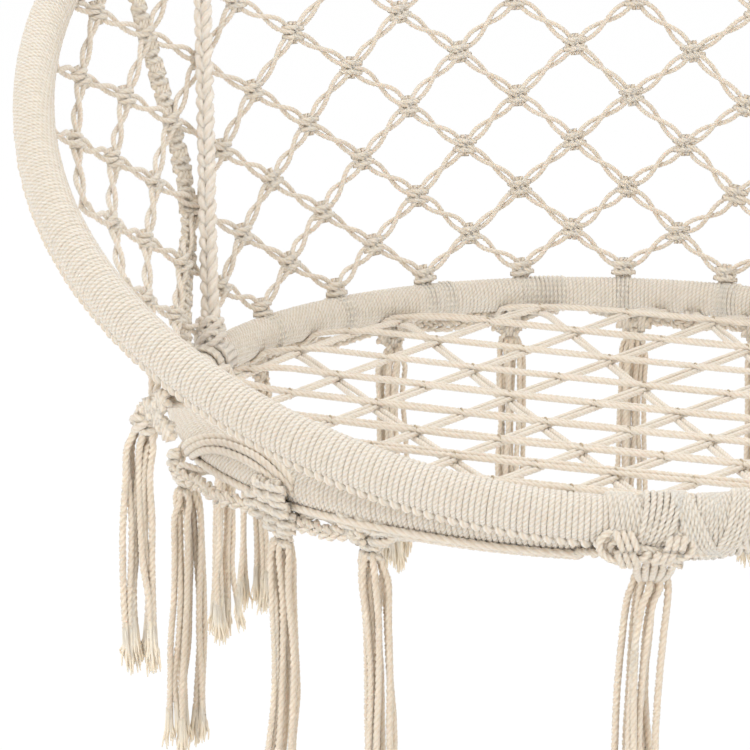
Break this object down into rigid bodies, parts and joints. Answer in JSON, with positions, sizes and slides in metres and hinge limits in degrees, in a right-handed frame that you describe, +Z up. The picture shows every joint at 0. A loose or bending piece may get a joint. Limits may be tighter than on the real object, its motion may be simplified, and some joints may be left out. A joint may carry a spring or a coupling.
{
  "type": "hanging hammock chair",
  "caption": "Cotton macrame hanging chair: a level seat hoop lashed to a larger leaning back hoop, with knotted nets, hanging ropes gathered under a steel ring, and a tasselled skirt.",
  "frame": {"origin": "the point inside the top of the steel ring where a ceiling hook bears", "axes": "+Z up, the sitter faces -Y, +X is to the left of the sitter"},
  "size_m": [0.8228, 0.7112, 1.372],
  "materials": {
    "galvanised_ring": "smooth zinc-plated steel wire, welded closed",
    "zinc_steel": "bright zinc-plated steel tube, covered by the cord wrap",
    "hoop_cotton": "natural cotton cord, tightly wound, matt",
    "net_cotton": "natural cotton cord, knotted, matt",
    "rope_cotton": "braided natural cotton rope, matt",
    "fringe_cotton": "loose natural cotton cord, cut ends, matt"
  },
  "bodies": {
    "ring": {"hanging_ring": "galvanised_ring"},
    "eye": {"rope_eye": "rope_cotton"},
    "chair": {"rope_crown": "rope_cotton", "crown_whipping": "rope_cotton", "back_hoop": "zinc_steel", "back_hoop_wrap": "hoop_cotton", "front_lashing": "hoop_cotton", "front_rope_left": "rope_cotton", "front_rope_right": "rope_cotton", "rear_rope_left": "rope_cotton", "rear_rope_right": "rope_cotton", "seat_rope_left": "rope_cotton", "seat_rope_right": "rope_cotton", "side_stay_left": "net_cotton", "side_stay_right": "net_cotton", "back_net_1": "net_cotton", "back_net_2": "net_cotton", "back_net_3": "net_cotton", "back_net_4": "net_cotton", "back_net_5": "net_cotton", "back_net_6": "net_cotton", "skirt_left_side": "fringe_cotton", "skirt_right_side": "fringe_cotton"},
    "seat": {"seat_hoop": "zinc_steel", "seat_hoop_wrap": "hoop_cotton", "seat_net": "net_cotton", "skirt_front": "fringe_cotton", "skirt_left_front": "fringe_cotton", "skirt_left_rear": "fringe_cotton", "skirt_right_front": "fringe_cotton", "skirt_right_rear": "fringe_cotton"},
    "tassel_front": {"tassel_front": "fringe_cotton"},
    "tassel_left_side": {"tassel_left_side": "fringe_cotton"},
    "tassel_left_1": {"tassel_left_1": "fringe_cotton"},
    "tassel_left_2": {"tassel_left_2": "fringe_cotton"},
    "tassel_left_3": {"tassel_left_3": "fringe_cotton"},
    "tassel_left_4": {"tassel_left_4": "fringe_cotton"},
    "tassel_left_5": {"tassel_left_5": "fringe_cotton"},
    "tassel_left_6": {"tassel_left_6": "fringe_cotton"},
    "tassel_left_7": {"tassel_left_7": "fringe_cotton"},
    "tassel_right_side": {"tassel_right_side": "fringe_cotton"},
    "tassel_right_1": {"tassel_right_1": "fringe_cotton"},
    "tassel_right_2": {"tassel_right_2": "fringe_cotton"},
    "tassel_right_3": {"tassel_right_3": "fringe_cotton"},
    "tassel_right_4": {"tassel_right_4": "fringe_cotton"},
    "tassel_right_5": {"tassel_right_5": "fringe_cotton"},
    "tassel_right_6": {"tassel_right_6": "fringe_cotton"},
    "tassel_right_7": {"tassel_right_7": "fringe_cotton"}
  },
  "joints": [
    {"name": "fore_aft_swing", "type": "hinge", "parent": "ring", "child": "eye", "pos_m": [0, 0, -0.048], "axis": [1, 0, 0], "range_deg": [-30, 30]},
    {"name": "sideways_swing", "type": "hinge", "parent": "eye", "child": "chair", "pos_m": [0, 0, -0.096], "axis": [0, 1, 0], "range_deg": [-15, 15], "deforming": ["rope_eye"]},
    {"name": "seat_fold", "type": "hinge", "parent": "chair", "child": "seat", "pos_m": [0, -0.33211, -1.14307], "axis": [1, 0, 0], "range_deg": [0, 30], "deforming": ["back_net_1", "back_net_2", "back_net_3", "back_net_4", "back_net_5", "back_net_6", "seat_rope_left", "seat_rope_right", "side_stay_left", "side_stay_right", "front_lashing"]},
    {"name": "tassel_front_swing", "type": "hinge", "parent": "seat", "child": "tassel_front", "pos_m": [-0.01047, -0.31942, -1.18838], "axis": [-0.9994, 0.0349, 0], "range_deg": [-20, 20]},
    {"name": "tassel_left_side_swing", "type": "hinge", "parent": "chair", "child": "tassel_left_side", "pos_m": [-0.31086, -0.21887, -1.10994], "axis": [-0.6906, 0.7232, 0], "range_deg": [-20, 20]},
    {"name": "tassel_left_1_swing", "type": "hinge", "parent": "seat", "child": "tassel_left_1", "pos_m": [-0.17207, -0.26535, -1.18538], "axis": [-0.8192, 0.5736, 0], "range_deg": [-20, 20]},
    {"name": "tassel_left_2_swing", "type": "hinge", "parent": "seat", "child": "tassel_left_2", "pos_m": [-0.22812, -0.21443, -1.18538], "axis": [-0.6494, 0.7604, 0], "range_deg": [-20, 20]},
    {"name": "tassel_left_3_swing", "type": "hinge", "parent": "seat", "child": "tassel_left_3", "pos_m": [-0.29506, -0.12699, -1.18538], "axis": [-0.342, 0.9397, 0], "range_deg": [-20, 20]},
    {"name": "tassel_left_4_swing", "type": "hinge", "parent": "seat", "child": "tassel_left_4", "pos_m": [-0.28191, 0.08301, -1.18538], "axis": [0.342, 0.9397, 0], "range_deg": [-20, 20]},
    {"name": "tassel_left_5_swing", "type": "hinge", "parent": "seat", "child": "tassel_left_5", "pos_m": [-0.25441, 0.13938, -1.18538], "axis": [0.5299, 0.848, 0], "range_deg": [-20, 20]},
    {"name": "tassel_left_6_swing", "type": "hinge", "parent": "seat", "child": "tassel_left_6", "pos_m": [-0.15, 0.24021, -1.18538], "axis": [0.866, 0.5, 0], "range_deg": [-20, 20]},
    {"name": "tassel_left_7_swing", "type": "hinge", "parent": "seat", "child": "tassel_left_7", "pos_m": [-0.05209, 0.27584, -1.18538], "axis": [0.9848, 0.1736, 0], "range_deg": [-20, 20]},
    {"name": "tassel_right_side_swing", "type": "hinge", "parent": "chair", "child": "tassel_right_side", "pos_m": [0.31086, -0.21887, -1.10994], "axis": [-0.6906, -0.7232, 0], "range_deg": [-20, 20]},
    {"name": "tassel_right_1_swing", "type": "hinge", "parent": "seat", "child": "tassel_right_1", "pos_m": [0.17207, -0.26535, -1.18538], "axis": [-0.8192, -0.5736, 0], "range_deg": [-20, 20]},
    {"name": "tassel_right_2_swing", "type": "hinge", "parent": "seat", "child": "tassel_right_2", "pos_m": [0.22812, -0.21443, -1.18538], "axis": [-0.6494, -0.7604, 0], "range_deg": [-20, 20]},
    {"name": "tassel_right_3_swing", "type": "hinge", "parent": "seat", "child": "tassel_right_3", "pos_m": [0.29506, -0.12699, -1.18538], "axis": [-0.342, -0.9397, 0], "range_deg": [-20, 20]},
    {"name": "tassel_right_4_swing", "type": "hinge", "parent": "seat", "child": "tassel_right_4", "pos_m": [0.28191, 0.08301, -1.18538], "axis": [0.342, -0.9397, 0], "range_deg": [-20, 20]},
    {"name": "tassel_right_5_swing", "type": "hinge", "parent": "seat", "child": "tassel_right_5", "pos_m": [0.25441, 0.13938, -1.18538], "axis": [0.5299, -0.848, 0], "range_deg": [-20, 20]},
    {"name": "tassel_right_6_swing", "type": "hinge", "parent": "seat", "child": "tassel_right_6", "pos_m": [0.15, 0.24021, -1.18538], "axis": [0.866, -0.5, 0], "range_deg": [-20, 20]},
    {"name": "tassel_right_7_swing", "type": "hinge", "parent": "seat", "child": "tassel_right_7", "pos_m": [0.05209, 0.27584, -1.18538], "axis": [0.9848, -0.1736, 0], "range_deg": [-20, 20]}
  ]
}
